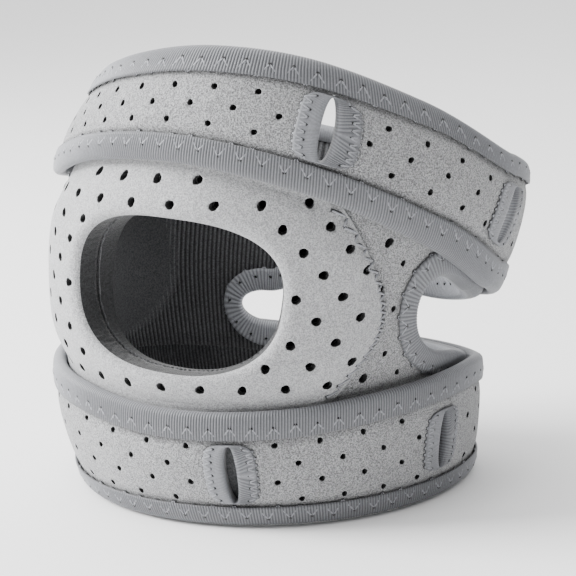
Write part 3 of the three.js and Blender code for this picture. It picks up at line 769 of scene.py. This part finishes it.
def make_strap(name):
    """Cloth of a strap: it dips beside its tapes, where it is painted darker as shade, swells a little
    and is punched with holes.
    """
    strap = STRAPS[name]

    def heights(turn):
        return (strap["bottom"](turn) + CLOTH_INSET * stretch(strap["bottom"], turn),
                strap["top"](turn) - CLOTH_INSET * stretch(strap["top"], turn))

    def relief(turn, height):
        bow = strap_bow(strap, turn, height)
        low, high = cloth_span(strap, turn)
        from_tape = np.minimum(height - low, high - height)
        dip = -CLOTH_DIP * (1 - smooth(np.abs(from_tape) / CLOTH_DIP_WIDTH))
        swell = CLOTH_SWELL * np.sin(np.radians(turn) * 11) * np.sin(np.radians(turn) * 5 + height / 9)
        return bow + dip + CLOTH_RISE * smooth(from_tape / 6) + swell * smooth(from_tape / 5)

    # Painted shade: the cloth darkens towards its tapes
    def shade(turn, height):
        low, high = cloth_span(strap, turn)
        return 0.45 + 0.55 * smooth(np.minimum(height - low, high - height) / 1.6)

    cloth = ring_band(f"{name}_strap_cloth", STRAP_COLUMNS, heights, STRAP_INSIDE, STRAP_OUTSIDE,
                      [BRUSHED, LINING], relief, strap, shade)
    slots = [prism(slot_contour(slot, circle(48), CLOTH_INSET), STRAP_INSIDE - 2, STRAP_OUTSIDE + 5)
             for slot in SLOTS if slot["strap"] == name]
    cut(cloth, cutter_object(f"{name}_slots", slots))
    holes = []
    for turn, height in strap_hole_places(name):
        bow = float(strap_bow(strap, turn, height))
        holes.append(hole_prism(turn, height, STRAP_HOLE_RADIUS, STRAP_INSIDE + 0.5 + bow,
                                STRAP_OUTSIDE + 1 + bow))
    cut(cloth, cutter_object(f"{name}_holes", holes))
    dress(cloth, "brushed_fabric", f"{name}_strap")


# Tapes


def rib_fade(turn):
    """Share of the rib depth at a turn: the tape is stretched smooth at the far sides."""
    rise = smooth((turn - RIB_FADE["from"]) / RIB_FADE["over"])
    fall = smooth((RIB_FADE["to"] - turn) / RIB_FADE["over"])
    return RIB_FADE["least"] + (1 - RIB_FADE["least"]) * rise * fall


def strap_edge(strap, is_top):
    """Edge of a strap, the direction into the strap and the length of its tape."""
    if is_top:
        return strap["top"], -1, strap["top_leg"]
    return strap["bottom"], 1, strap["bottom_leg"]


def make_binding(name, strap, is_top):
    """Folded ribbed tape over a strap's edge."""
    edge, inward, leg_length = strap_edge(strap, is_top)
    turns, step = even_turns(edge, RIB_PITCH / RIB_STEPS)
    count = len(turns) // RIB_STEPS * RIB_STEPS
    turns, _ = even_turns(edge, step * len(turns) / count)
    wave = rib_wave(len(turns))
    depth_rib = RIB_DEPTH * rib_fade(turns) * wave
    middle = (BACKING_INSIDE + FACING_OUTSIDE) / 2
    half = (FACING_OUTSIDE - BACKING_INSIDE) / 2
    arc = np.linspace(math.pi / 2, -math.pi / 2, 9)
    fold = [(FOLD_REACH * (1 - math.cos(a)), middle + half * math.sin(a), 1.0) for a in arc]
    section = [(leg_length, FACING_INSIDE, 0.0), (leg_length, FACING_OUTSIDE - 0.1, 0.3),
               (leg_length - 0.8, FACING_OUTSIDE + 0.02, 1.0),
               (leg_length * 0.6, FACING_OUTSIDE + 0.1, 1.0),
               (leg_length * 0.4, FACING_OUTSIDE + 0.1, 1.0), *fold,
               (BACKING_LEG, BACKING_INSIDE, 0.5), (BACKING_LEG, BACKING_OUTSIDE, 0.0),
               (TAPE + GAP, BACKING_OUTSIDE, 0.0), (TAPE + GAP, FACING_INSIDE, 0.0)]
    tall = stretch(edge, turns)
    loops = []
    for depth, out, ribbed in section:
        height = edge(turns) + inward * depth * tall
        loops.append(on_strap(strap, turns, height, out + depth_rib * ribbed))
    # Painted shade: darker in the grooves between the ribs and along the tape's edges at the cloth
    groove = 1 - BINDING_GROOVE_PAINTED_SHADE * rib_fade(turns) * (0.5 - 0.5 * wave)
    shades = groove[:, None] * np.array(TAPE_EDGE_PAINTED_SHADES + [1.0] * (len(section) - 2))
    binding = loft(f"{name}_tape", np.stack(loops, axis=1), [BINDING], shades=shades)
    dress(binding, "binding_tape", name)


def slot_place(slot, across, up):
    strap = STRAPS[slot["strap"]]
    scale = per_mm(slot["turn"], strap["top"](slot["turn"]))
    turn = slot["turn"] + across * scale + slot["lean"] * up / SLOT_LENGTH
    low, high = cloth_span(strap, turn)
    return turn, (low + high) / 2 + up


def slot_contour(slot, angle, grow):
    across = (SLOT_WIDTH / 2 + grow) * np.cos(angle)
    return slot_place(slot, across, (SLOT_LENGTH / 2 + grow / 2) * np.sin(angle))


def slot_tape_contour(slot, angle, inset=0.0):
    def square(value):
        return np.sign(value) * np.abs(value) ** 0.5
    return slot_place(slot, (SLOT_TAPE_WIDTH / 2 - inset) * square(np.cos(angle)),
                      (SLOT_LENGTH / 2 + 0.4) * square(np.sin(angle)))


def make_slot_tape(slot, sides=240):
    """Tape folded round a slot, with a rolled edge; ribbed on the side away from the kneecap."""
    strap = STRAPS[slot["strap"]]
    angle = circle(sides)
    inner = slot_contour(slot, angle, 0)
    outer = slot_tape_contour(slot, angle)
    cloth = slot_contour(slot, angle, TAPE + GAP)
    wave = rib_wave(sides)
    far_side = 0.35 + 0.65 * smooth(np.cos(angle) * 2)
    ribbed = SOFT_RIB_DEPTH * wave * far_side

    def between(share, out, rib):
        turn = inner[0] + (outer[0] - inner[0]) * share
        height = inner[1] + (outer[1] - inner[1]) * share
        return on_strap(strap, turn, height, out + ribbed * rib)

    roll = FACING_OUTSIDE + 0.35
    back = BACKING_INSIDE - 0.4
    back_top = BACKING_OUTSIDE - 0.4
    loops = [between(1, FACING_INSIDE, 0), between(1, FACING_OUTSIDE - 0.15, 0.3),
             between(0.9, FACING_OUTSIDE, 1), between(0.6, FACING_OUTSIDE + 0.05, 1),
             between(0.35, roll - 0.1, 1), between(0.18, roll, 1), between(0.06, roll - 0.3, 1),
             between(0, FACING_INSIDE, 0.5), between(0, BACKING_INSIDE, 0),
             between(0.1, back, 0), between(1, back, 0), between(1, back_top, 0),
             on_strap(strap, *cloth, back_top), on_strap(strap, *cloth, FACING_INSIDE)]
    # Painted shade: darker in the rib grooves on the far side and along the tape's edges at the cloth
    groove = 1 - SLOT_GROOVE_PAINTED_SHADE * far_side * (0.5 - 0.5 * wave)
    shades = groove[:, None] * np.array(TAPE_EDGE_PAINTED_SHADES + [1.0] * (len(loops) - 2))
    tape = loft(f"{slot['name']}_roll", np.stack(loops, axis=1), [BINDING], shades=shades)
    dress(tape, "binding_tape", slot["name"])


def even_contour(grow, pitch):
    """Contour of the opening behind the knee, grown, at places evenly spaced on the plain contour."""
    turn, height = opening_contour(0.0)
    points = leg(np.append(turn, turn[0]), np.append(height, height[0]), PANEL_OUTSIDE)
    length = np.concatenate([[0], np.cumsum(np.linalg.norm(np.diff(points, axis=0), axis=1))]) / MM
    count = int(round(length[-1] / pitch)) // RIB_STEPS * RIB_STEPS
    at = np.arange(count) * length[-1] / count
    place = np.interp(at, length, np.arange(len(length)))
    grown = opening_contour(grow)
    index = np.arange(len(turn) + 1)
    return tuple(np.interp(place, index, np.append(values, values[0])) for values in grown)


def make_opening_tape():
    """Ribbed tape folded over the edge of the opening behind the knee."""
    outside = PANEL_OUTSIDE + GAP
    inside = OPENING_TAPE_INSIDE
    face = outside + TAPE
    back = inside - TAPE
    middle = (face + back) / 2
    half = (face - back) / 2
    pitch = RIB_PITCH / RIB_STEPS
    wave = rib_wave(len(even_contour(0.0, pitch)[0]))
    full = OPENING["leg"]
    section = [(full, outside, 0.0), (full, face - 0.1, 0.4), (full - 1, face, 1.0),
               (full * 0.55, face + 0.1, 1.0), (full * 0.35, face + 0.1, 1.0)]
    for angle in np.linspace(math.pi / 2, -math.pi / 2, 11):
        reach = OPENING_FOLD_REACH * (1 - math.cos(angle))
        section.append((reach, middle + half * math.sin(angle), 1.0))
    section += [(full * 0.5, back, 1.0), (full - 1, back, 1.0), (full, back + 0.1, 0.4),
                (full, inside, 0.0), (TAPE + GAP, inside, 0.0), (TAPE + GAP, outside, 0.0)]
    loops = []
    for grow, out, ribbed in section:
        turn, height = even_contour(grow, pitch)
        away = SOFT_RIB_DEPTH if out > middle else -SOFT_RIB_DEPTH
        loops.append(leg(turn, height, out + away * wave * ribbed))
    # Painted shade: darker in the rib grooves and along the tape's edges at the cloth
    groove = 1 - OPENING_GROOVE_PAINTED_SHADE * (1 - wave)
    edges = np.array(TAPE_EDGE_PAINTED_SHADES + [1.0] * (len(section) - 6) + TAPE_EDGE_PAINTED_SHADES[::-1] + [1.0, 1.0])
    # Painted light: the loops on the tape's inner face are lightened
    inner_face_painted_light = np.array([INNER_FACE_PAINTED_LIGHT if out < middle else 1.0 for _, out, _ in section])
    tape = loft("popliteal_opening_tape_fold", np.stack(loops, axis=1), [BINDING],
                shades=groove[:, None] * edges * inner_face_painted_light)
    dress(tape, "binding_tape", "popliteal_opening_tape")


def make_tab(name, strap, columns=60, rows=24):
    """Plain closure tab with rounded corners and a sewn groove round its edge."""
    share = np.linspace(0, 1, columns + 1)
    turn = TAB["start"] + (TAB["end"] - TAB["start"]) * share
    low, high = cloth_span(strap, turn, TAB["margin"])
    from_end = np.minimum(share, 1 - share) * columns
    narrow = 1 - rounded(from_end / 6)
    middle = (low + high) / 2
    low = low + (middle - low) * 0.22 * narrow
    high = high - (high - middle) * 0.22 * narrow
    rise = np.linspace(0, 1, rows + 1)
    grid = low[:, None] + (high - low)[:, None] * rise
    edge = np.minimum(np.minimum(rise, 1 - rise)[None, :] * rows, from_end[:, None])
    top = FACING_INSIDE + TAB["thick"]
    out = top - 0.8 * (1 - rounded(edge / 2)) - 0.25 * (np.abs(edge - 3) < 0.6)
    outer = on_strap(strap, turn[:, None] + 0 * grid, grid, out)
    inner = on_strap(strap, turn[:, None] + 0 * grid[:, ::4], grid[:, ::4], FACING_INSIDE)
    tab = loft(f"{name}_cloth", sheet_loop(outer, inner), [BRUSHED], is_ring=False)
    dress(tab, "brushed_fabric", name)


# Stitching


def stitch_object(name, starts, ends, lifts, material, radius, sides=5):
    """Threads between pairs of points, each a short tube that bows along its lift."""
    steps = np.array([0.0, 0.12, 0.5, 0.88, 1.0])
    # The painted shadow tubes, of the dark material, lie flatter and bow less than the threads
    bow = np.array([-0.9, 0.5, 1.0, 0.5, -0.9]) * (1 if material is THREAD else 0.1)
    points = []
    faces = []
    squash = 1.0 if material is THREAD else 0.45
    for start, end, lift in zip(starts, ends, lifts):
        along = end - start
        length = np.linalg.norm(along)
        if length < 1e-7:
            continue
        along = along / length
        up = lift / np.linalg.norm(lift)
        side = np.cross(along, up)
        side /= np.linalg.norm(side)
        up = np.cross(side, along)
        base = len(points)
        for step, height in zip(steps, bow):
            centre = start + (end - start) * step + up * height * radius * MM
            for k in range(sides):
                angle = 2 * math.pi * k / sides
                spoke = side * math.cos(angle) + up * squash * math.sin(angle)
                points.append(centre + spoke * radius * MM)
        for ring in range(len(steps) - 1):
            for k in range(sides):
                nxt = (k + 1) % sides
                a = base + ring * sides
                faces.append((a + k, a + sides + k, a + sides + nxt, a + nxt))
        faces.append(tuple(base + k for k in range(sides)))
        faces.append(tuple(base + (len(steps) - 1) * sides + k for k in reversed(range(sides))))
    return mesh_object(name, points, faces, [material])


def pit_object(name, centres, lifts, radius, sides=8):
    """Needle holes painted dark as shadow: small shallow double cones set into the tape."""
    points = []
    faces = []
    for centre, lift in zip(centres, lifts):
        up = lift / np.linalg.norm(lift)
        side = np.cross(up, np.array([0.3, 0.2, 1.0]))
        side /= np.linalg.norm(side)
        other = np.cross(up, side)
        base = len(points)
        for k in range(sides):
            angle = 2 * math.pi * k / sides
            spoke = side * math.cos(angle) + other * math.sin(angle) * 0.75
            points.append(centre + spoke * radius * MM + up * 0.05 * MM)
        points.append(centre + up * 0.11 * MM)
        points.append(centre - up * 0.3 * MM)
        for k in range(sides):
            nxt = (k + 1) % sides
            faces.append((base + k, base + nxt, base + sides))
            faces.append((base + nxt, base + k, base + sides + 1))
    return mesh_object(name, points, faces, [PIT])


def lift_at(turn, height):
    """Outward direction at places on the leg form."""
    return leg(turn, height, 1.0) - leg(turn, height, 0.0)


def sew(name, starts, ends, lifts, slot, radius=THREAD_RADIUS, painted_shadow_radius=STITCH_SHADOW_RADIUS):
    """Threads of a seam, laid over a wider dark tube of painted shadow in the groove that they lie in.
    """
    dress(stitch_object(name, starts, ends, lifts, THREAD, radius), slot)
    dress(stitch_object(f"{name}_groove", starts, ends, lifts, PAINTED_STITCH_SHADOW, painted_shadow_radius), "lining_fabric")


def zigzag(name, tape_place, cloth_place, tape_out, cloth_out, strap=None):
    """Zigzag seam: threads run from places on the tape to places on the cloth and back."""
    if strap is not None:
        tape_out = tape_out + strap_bow(strap, *tape_place)
        cloth_out = cloth_out + strap_bow(strap, *cloth_place)
    tape = leg(*tape_place, tape_out)
    cloth = leg(*cloth_place, cloth_out)
    lift_tape = lift_at(*tape_place)
    if np.max(tape_out) < LINING_INSIDE:
        lift_tape = -lift_tape
    starts = np.concatenate([tape, cloth])
    ends = np.concatenate([cloth, np.roll(tape, -1, axis=0)])
    lifts = np.concatenate([lift_tape, lift_tape])
    keep = np.linalg.norm(ends - starts, axis=1) < 4 * STITCH_PITCH * MM
    sew(name, starts[keep], ends[keep], lifts[keep], "binding_tape")
    dress(pit_object(f"{name}_holes", tape, lift_tape, PIT_RADIUS), "lining_fabric")


def binding_seam(name, strap, is_top):
    """Zigzag along a strap's edge tape."""
    edge, inward, leg_length = strap_edge(strap, is_top)
    turns, _ = even_turns(edge, STITCH_PITCH)
    wobble = 0.25 * np.sin(np.arange(len(turns)) * 2.4)
    tall = stretch(edge, turns)
    tape_height = edge(turns) + inward * (leg_length - STITCH_REACH + wobble) * tall
    half_step = np.diff(np.append(turns, turns[0] + 360)) / 2
    shifted = turns + half_step
    tall_shifted = stretch(edge, shifted)
    cloth_height = edge(shifted) + inward * (leg_length + 0.35 - wobble) * tall_shifted
    zigzag(name, (turns, tape_height), (shifted, cloth_height),
           FACING_OUTSIDE + 0.12, STRAP_OUTSIDE + 0.15, strap)


def contour_seam(name, tape_out, cloth_out, count=73):
    """Zigzag round the tape of the opening behind the knee."""
    tape = np.array(even_contour(OPENING["leg"] - 2.6, 0.2))
    cloth = np.array(even_contour(OPENING["leg"] + 0.5, 0.2))
    at = (np.arange(count) * tape.shape[1] / count).astype(int)
    between = ((np.arange(count) + 0.5) * tape.shape[1] / count).astype(int)
    zigzag(name, tape[:, at], cloth[:, between], tape_out, cloth_out)


def slot_seam(slot, count=9, reach=0.88):
    """Zigzag along the two long sides of a slot tape."""
    strap = STRAPS[slot["strap"]]
    along = np.linspace(-reach, reach, count)
    between = along + reach / (count - 1)
    for label, middle in (("near", math.pi), ("far", 0.0)):
        tape_place = slot_tape_contour(slot, middle + np.arcsin(along * np.abs(along)), 2.4)
        cloth_place = slot_tape_contour(slot, middle + np.arcsin(between * np.abs(between)), -0.5)
        tape = on_strap(strap, *tape_place, FACING_OUTSIDE + 0.1)
        cloth = on_strap(strap, *cloth_place, STRAP_OUTSIDE + 0.3)
        lifts = lift_at(*tape_place)
        starts = np.concatenate([tape, cloth[:-1]])
        ends = np.concatenate([cloth, tape[1:]])
        name = f"{slot['name']}_{label}_seam"
        sew(name, starts, ends, np.concatenate([lifts, lifts[1:]]), "binding_tape")
        dress(pit_object(f"{name}_holes", tape[::2], lifts[::2], SLOT_PIT_RADIUS), "lining_fabric")


def pad_seam():
    """Zigzag that sews the pad's two sides to the panel."""
    starts, ends, ups = [], [], []
    for side in (-1, 1):
        up = np.linspace(0.02, 0.98, 35)
        left, right = pad_edges(up)
        turn = left if side < 0 else right
        low = lower_top(turn)
        height = low + (upper_bottom(turn) - low) * up
        reach = side * PAD_STITCH * per_mm(turn, height)
        on_pad = leg(turn - reach, height, PAD_OUTSIDE + 0.45)
        on_panel = leg(turn + 0.8 * reach, height, PANEL_OUTSIDE + 0.2)
        points = np.where((np.arange(len(up)) % 2 == 0)[:, None], on_pad, on_panel)
        starts.append(points[:-1])
        ends.append(points[1:])
        ups.append(lift_at(turn, height)[:-1])
    starts, ends, ups = (np.concatenate(rows) for rows in (starts, ends, ups))
    sew("patella_pad_seam", starts, ends, ups, "pad_fabric", PAD_THREAD_RADIUS, PAD_SEAM_SHADOW_RADIUS)


def slot_lining(slot, sides=48):
    """Dark lining of the strap behind a slot, which closes it toward the leg."""
    turn, height = slot_contour(slot, circle(sides), 3.0)
    middle_turn, middle_height = slot_place(slot, 0.0, 0.0)
    strap = STRAPS[slot["strap"]]
    shares = (1.0, 0.98, 0.6, 0.2, 0.02)
    outs = [BACKING_INSIDE - 0.75] * len(shares) + [BACKING_INSIDE - 1.2] * len(shares)
    loops = []
    for share, out in zip(shares + shares[::-1], outs):
        loops.append(on_strap(strap, middle_turn + (turn - middle_turn) * share,
                              middle_height + (height - middle_height) * share, out))
    patch = loft(f"{slot['name']}_lining", np.stack(loops, axis=1), [LINING])
    dress(patch, "lining_fabric")


make_panel()
make_lining()
make_pad()
make_strap("upper")
make_strap("lower")
for label in ("upper", "lower"):
    for is_top in (True, False):
        part = "top" if is_top else "bottom"
        make_binding(f"{label}_strap_{part}_binding", STRAPS[label], is_top)
        binding_seam(f"{label}_{part}_seam", STRAPS[label], is_top)
make_opening_tape()
for slot_row in SLOTS:
    make_slot_tape(slot_row)
    slot_seam(slot_row)
    if slot_row["strap"] == "lower":
        slot_lining(slot_row)
make_tab("upper_closure_tab", STRAPS["upper"])
make_tab("lower_closure_tab", STRAPS["lower"])
contour_seam("opening_outer_seam", PANEL_OUTSIDE + GAP + TAPE + 0.1, PANEL_OUTSIDE + 0.2)
contour_seam("opening_inner_seam", OPENING_TAPE_INSIDE - TAPE - 0.1, LINING_INSIDE - 0.3)
pad_seam()


# Stage, light and camera


FLOOR_REACH = 40
FLOOR_LEVEL = -0.0005
FLOOR_GREY = 0.92
SKY_FROM = (-0.78, 0.5, 0.25)
SKY_LOW = -0.1
SKY_HIGH = 2.62
KEY_POWER = 44
TOP_POWER = 7
LIGHT_TARGET = (0, 0, 0.07)


def make_floor():
    signs = [(-1, -1), (1, -1), (1, 1), (-1, 1)]
    corners = [(x * FLOOR_REACH, y * FLOOR_REACH, FLOOR_LEVEL) for x, y in signs]
    floor = mesh_object("studio_floor", corners, [(0, 1, 2, 3)], [])
    material, _, _ = new_material("studio_floor", (FLOOR_GREY,) * 3, 0.9)
    floor.data.materials.append(material)


def add_area(name, place, size, power):
    light = bpy.data.lights.new(name, "AREA")
    light.energy = power
    light.size = size
    obj = bpy.data.objects.new(name, light)
    obj.location = place
    obj.rotation_euler = (Vector(LIGHT_TARGET) - Vector(place)).to_track_quat("-Z", "Y").to_euler()
    bpy.context.scene.collection.objects.link(obj)


def make_lights():
    """Sky that is brightest toward SKY_FROM, and two soft lights."""
    world = bpy.data.worlds.new("studio")
    bpy.context.scene.world = world
    world.use_nodes = True
    tree = world.node_tree
    background = tree.nodes["Background"]
    place = tree.nodes.new("ShaderNodeTexCoord")
    toward = tree.nodes.new("ShaderNodeVectorMath")
    toward.operation = "DOT_PRODUCT"
    toward.inputs[1].default_value = Vector(SKY_FROM).normalized()
    tree.links.new(place.outputs["Generated"], toward.inputs[0])
    spread = tree.nodes.new("ShaderNodeMapRange")
    spread.inputs["From Min"].default_value = -1
    spread.inputs["To Min"].default_value = SKY_LOW
    spread.inputs["To Max"].default_value = SKY_HIGH
    spread.clamp = True
    tree.links.new(toward.outputs["Value"], spread.inputs["Value"])
    tree.links.new(spread.outputs["Result"], background.inputs["Color"])
    add_area("key_left", (-1.0, -0.4, 0.65), 0.6, KEY_POWER)
    add_area("top_soft", (-0.1, -0.2, 1.2), 0.8, TOP_POWER)


CAMERA_AZIMUTH = math.radians(27.37)
CAMERA_ELEVATION = math.radians(12.37)
CAMERA_ROLL = math.radians(-2.47)
CAMERA_DISTANCE = 0.6
CAMERA_TARGET = Vector((-0.00036, 0.01143, 0.05807))
CAMERA_LENS = 120.0


def make_camera():
    camera = bpy.data.cameras.new("photo_camera")
    camera.lens = CAMERA_LENS
    camera.sensor_width = 36
    level = Vector((math.cos(CAMERA_AZIMUTH), math.sin(CAMERA_AZIMUTH), 0))
    away = Vector((level.y, -level.x, 0)) * math.cos(CAMERA_ELEVATION)
    back = away + Vector((0, 0, math.sin(CAMERA_ELEVATION)))
    upright = back.cross(level)
    right = level * math.cos(CAMERA_ROLL) + upright * math.sin(CAMERA_ROLL)
    up = upright * math.cos(CAMERA_ROLL) - level * math.sin(CAMERA_ROLL)
    place = CAMERA_TARGET + back * CAMERA_DISTANCE
    rotation = Matrix((right, up, back)).transposed().to_4x4()
    obj = bpy.data.objects.new("photo_camera", camera)
    obj.matrix_world = Matrix.Translation(place) @ rotation
    bpy.context.scene.collection.objects.link(obj)
    bpy.context.scene.camera = obj


make_floor()
make_lights()
make_camera()
